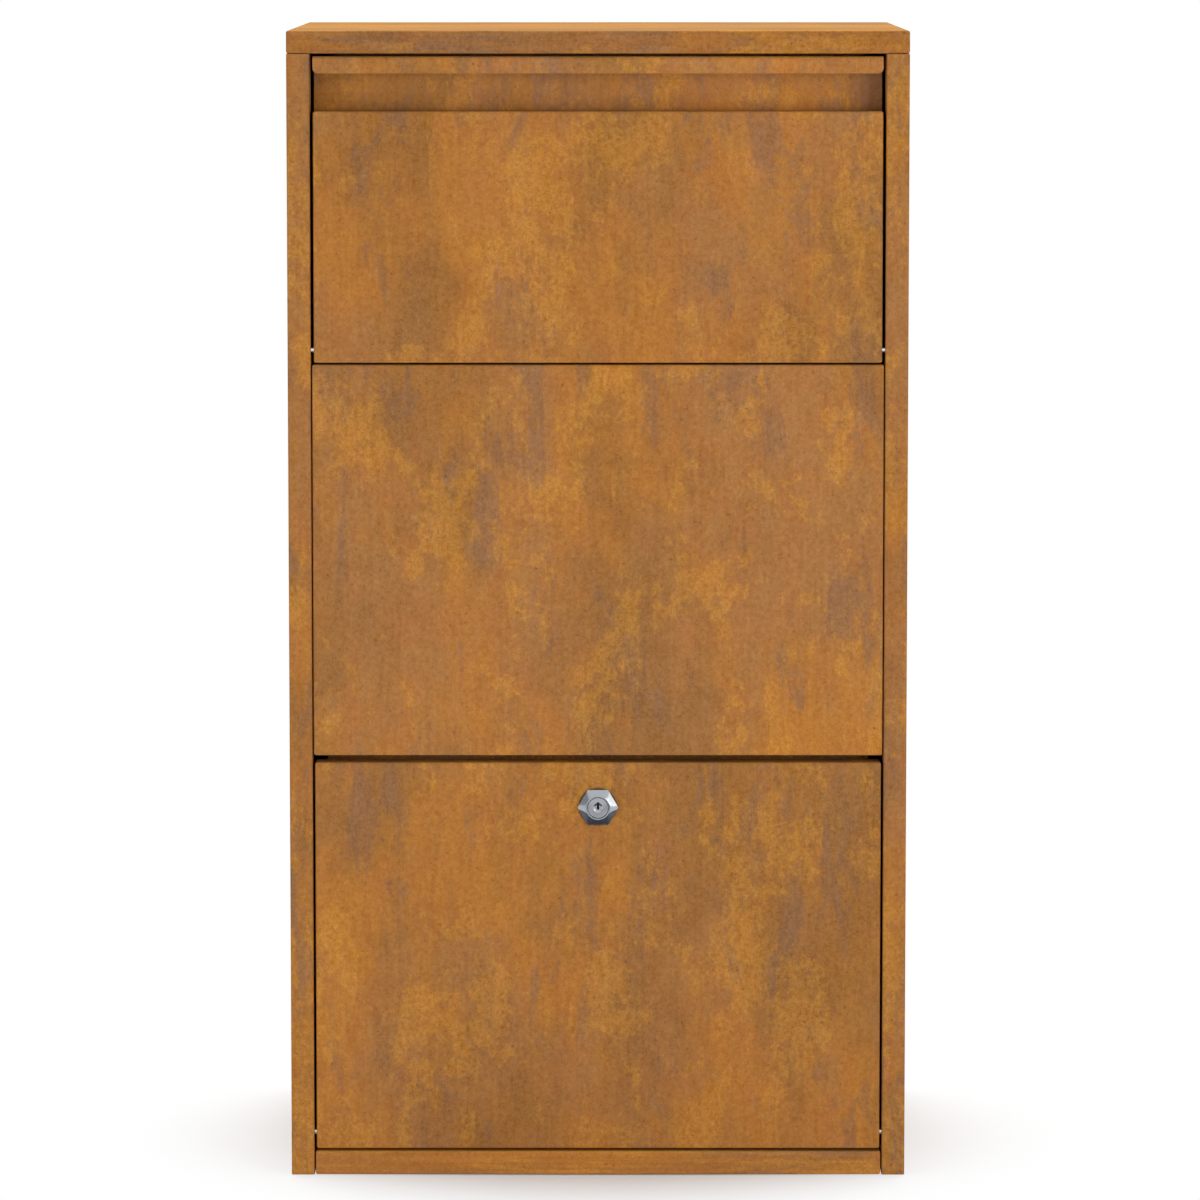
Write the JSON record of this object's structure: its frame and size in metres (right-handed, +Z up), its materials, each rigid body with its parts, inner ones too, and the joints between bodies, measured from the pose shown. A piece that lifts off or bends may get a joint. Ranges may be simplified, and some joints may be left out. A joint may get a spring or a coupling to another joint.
{
  "type": "parcel letterbox",
  "caption": "Tall sheet-steel parcel letterbox with a bottom-hinged tip-out hopper flap, a fixed middle panel and a locked drop-down door.",
  "frame": {"origin": "middle of the base, on the surface that the box stands on", "axes": "+Z up the cabinet, -Y out of the front, +X to the right seen from the front"},
  "size_m": [0.43, 0.3449, 0.8],
  "materials": {
    "rusted_sheet": "bare steel under a dry orange-brown rust layer",
    "rusted_inner_sheet": "bare steel under a darker rust layer",
    "rusted_rivet": "rusted",
    "bright_pin_steel": "bright, worn",
    "lock_chrome": "polished, lightly dusty",
    "plug_nickel": "satin nickel",
    "cam_steel": "zinc plated, dull"
  },
  "bodies": {
    "cabinet": {"left_side_panel": "rusted_sheet", "right_side_panel": "rusted_sheet", "back_panel": "rusted_sheet", "top_cap": "rusted_sheet", "base_rail": "rusted_sheet", "base_plate": "rusted_sheet", "base_angle": "rusted_inner_sheet", "middle_panel": "rusted_sheet", "strike_bar": "rusted_inner_sheet", "flap_stop_rail": "rusted_inner_sheet", "anti_theft_baffle": "rusted_inner_sheet", "flap_hinge_pin_left": "bright_pin_steel", "flap_hinge_pin_right": "bright_pin_steel", "flap_hinge_clip_left": "bright_pin_steel", "flap_hinge_clip_right": "bright_pin_steel", "door_hinge_pin_left": "bright_pin_steel", "door_hinge_pin_right": "bright_pin_steel", "door_hinge_clip_left": "bright_pin_steel", "door_hinge_clip_right": "bright_pin_steel", "middle_rivet_left_1": "rusted_rivet", "middle_rivet_left_2": "rusted_rivet", "middle_rivet_left_3": "rusted_rivet", "middle_rivet_right_1": "rusted_rivet", "middle_rivet_right_2": "rusted_rivet", "middle_rivet_right_3": "rusted_rivet", "strike_rivet_1": "rusted_rivet", "strike_rivet_2": "rusted_rivet", "strike_rivet_3": "rusted_rivet", "rail_rivet_1": "rusted_rivet", "rail_rivet_2": "rusted_rivet", "rail_rivet_3": "rusted_rivet"},
    "hopper": {"hopper_flap": "rusted_sheet", "hopper_cheek_left": "rusted_inner_sheet", "hopper_cheek_right": "rusted_inner_sheet", "hopper_floor": "rusted_inner_sheet", "flap_rivet_left_1": "rusted_rivet", "flap_rivet_left_2": "rusted_rivet", "flap_rivet_right_1": "rusted_rivet", "flap_rivet_right_2": "rusted_rivet", "floor_rivet_left_1": "rusted_rivet", "floor_rivet_left_2": "rusted_rivet", "floor_rivet_left_3": "rusted_rivet", "floor_rivet_right_1": "rusted_rivet", "floor_rivet_right_2": "rusted_rivet", "floor_rivet_right_3": "rusted_rivet"},
    "door": {"door_panel": "rusted_sheet", "lock_housing": "lock_chrome", "lock_nut": "cam_steel"},
    "lock_core": {"lock_plug": "plug_nickel", "lock_cam": "cam_steel", "cam_washer": "cam_steel", "cam_screw": "cam_steel"}
  },
  "joints": [
    {"name": "hopper_tilt", "type": "hinge", "parent": "cabinet", "child": "hopper", "pos_m": [0, -0.1655, 0.5794], "axis": [1, 0, 0], "range_deg": [0, 50]},
    {"name": "door_drop", "type": "hinge", "parent": "cabinet", "child": "door", "pos_m": [0, -0.1655, 0.0298], "axis": [1, 0, 0], "range_deg": [0, 90]},
    {"name": "lock_turn", "type": "hinge", "parent": "door", "child": "lock_core", "pos_m": [0, -0.17, 0.2604], "axis": [0, 1, 0], "range_deg": [0, 90]}
  ]
}
